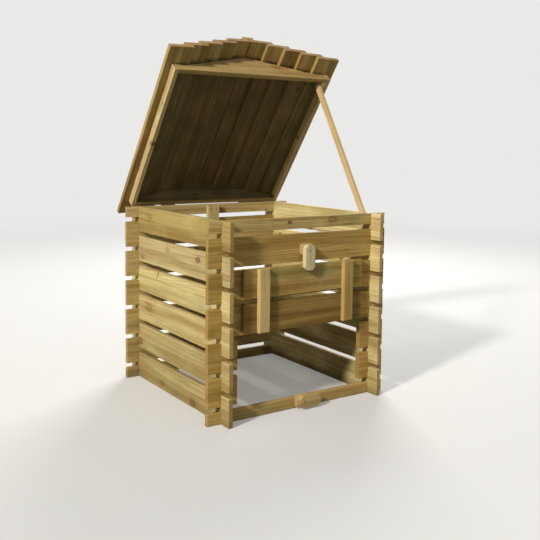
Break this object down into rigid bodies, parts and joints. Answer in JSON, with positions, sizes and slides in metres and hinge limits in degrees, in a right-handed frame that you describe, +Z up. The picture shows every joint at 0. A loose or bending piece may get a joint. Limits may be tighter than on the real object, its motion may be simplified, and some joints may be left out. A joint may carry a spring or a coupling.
{
  "type": "compost bin with lid",
  "caption": "Square garden compost bin of notched slats stacked like a log cabin, with a hinged gable lid on a prop, a lifting front hatch and turn buttons.",
  "frame": {"origin": "middle of the underside of the front wall's bottom board, on the ground", "axes": "+Z up, +X to the right seen from the front, +Y from the front wall to the back wall"},
  "size_m": [0.74, 0.8622, 1.3006],
  "materials": {
    "wall_boards": "rough-sawn pressure-treated softwood, matte",
    "hatch_boards": "rough-sawn pressure-treated softwood, matte",
    "lid_boards": "rough-sawn pressure-treated softwood, matte",
    "lid_frame": "sawn pressure-treated softwood, matte",
    "pale_trim": "planed softwood, matte",
    "zinc_steel": "zinc plated"
  },
  "bodies": {
    "bin": {"back_batten": "pale_trim", "back_board_1": "wall_boards", "back_board_2": "wall_boards", "back_board_3": "wall_boards", "back_board_4": "wall_boards", "back_board_5": "wall_boards", "back_bottom_rail": "wall_boards", "back_top_rail": "wall_boards", "button_screws": "zinc_steel", "button_spacers": "pale_trim", "front_board_1": "wall_boards", "front_board_2": "wall_boards", "front_board_3": "wall_boards", "front_bottom_rail": "wall_boards", "front_left_blocks": "wall_boards", "front_right_blocks": "wall_boards", "front_top_rail": "wall_boards", "hinge_pins": "zinc_steel", "left_board_1": "wall_boards", "left_board_2": "wall_boards", "left_board_3": "wall_boards", "left_board_4": "wall_boards", "left_board_5": "wall_boards", "left_board_6": "wall_boards", "right_board_1": "wall_boards", "right_board_2": "wall_boards", "right_board_3": "wall_boards", "right_board_4": "wall_boards", "right_board_5": "wall_boards", "right_board_6": "wall_boards", "wall_hinge_leaves": "zinc_steel", "wall_screws": "zinc_steel"},
    "lid": {"front_gable": "lid_frame", "left_lid_rail": "lid_frame", "left_slat_1": "lid_boards", "left_slat_2": "lid_boards", "left_slat_3": "lid_boards", "left_slat_4": "lid_boards", "left_slat_5": "lid_boards", "lid_hinge_leaves": "zinc_steel", "lid_screws": "zinc_steel", "prop_bolt": "zinc_steel", "prop_nut": "zinc_steel", "prop_spacer": "pale_trim", "rear_gable": "lid_frame", "ridge_cap": "lid_boards", "right_lid_rail": "lid_frame", "right_slat_1": "lid_boards", "right_slat_2": "lid_boards", "right_slat_3": "lid_boards", "right_slat_4": "lid_boards", "right_slat_5": "lid_boards"},
    "prop": {"prop": "pale_trim"},
    "hatch": {"hatch_left_batten": "pale_trim", "hatch_lower_board": "hatch_boards", "hatch_right_batten": "pale_trim", "hatch_screws": "zinc_steel", "hatch_upper_board": "hatch_boards"},
    "top_button": {"top_button": "pale_trim"},
    "bottom_button": {"bottom_button": "pale_trim"}
  },
  "joints": [
    {"name": "lid_hinge", "type": "hinge", "parent": "bin", "child": "lid", "pos_m": [0, 0.6405, 0.6455], "axis": [-1, 0, 0], "range_deg": [-53.6, 0]},
    {"name": "prop_swing", "type": "hinge", "parent": "lid", "child": "prop", "pos_m": [0.296, 0.31225, 1.13589], "axis": [1, 0, 0], "range_deg": [0, 67.08]},
    {"name": "hatch_slide", "type": "slide", "parent": "bin", "child": "hatch", "axis": [0, 0, 1], "range_m": [-0.234, 0]},
    {"name": "top_button_turn", "type": "hinge", "parent": "bin", "child": "top_button", "pos_m": [0.007, -0.034, 0.547], "axis": [0, 1, 0], "continuous": true},
    {"name": "bottom_button_turn", "type": "hinge", "parent": "bin", "child": "bottom_button", "pos_m": [-0.004, -0.034, 0.028], "axis": [0, -1, 0], "range_deg": [0, 180]}
  ]
}
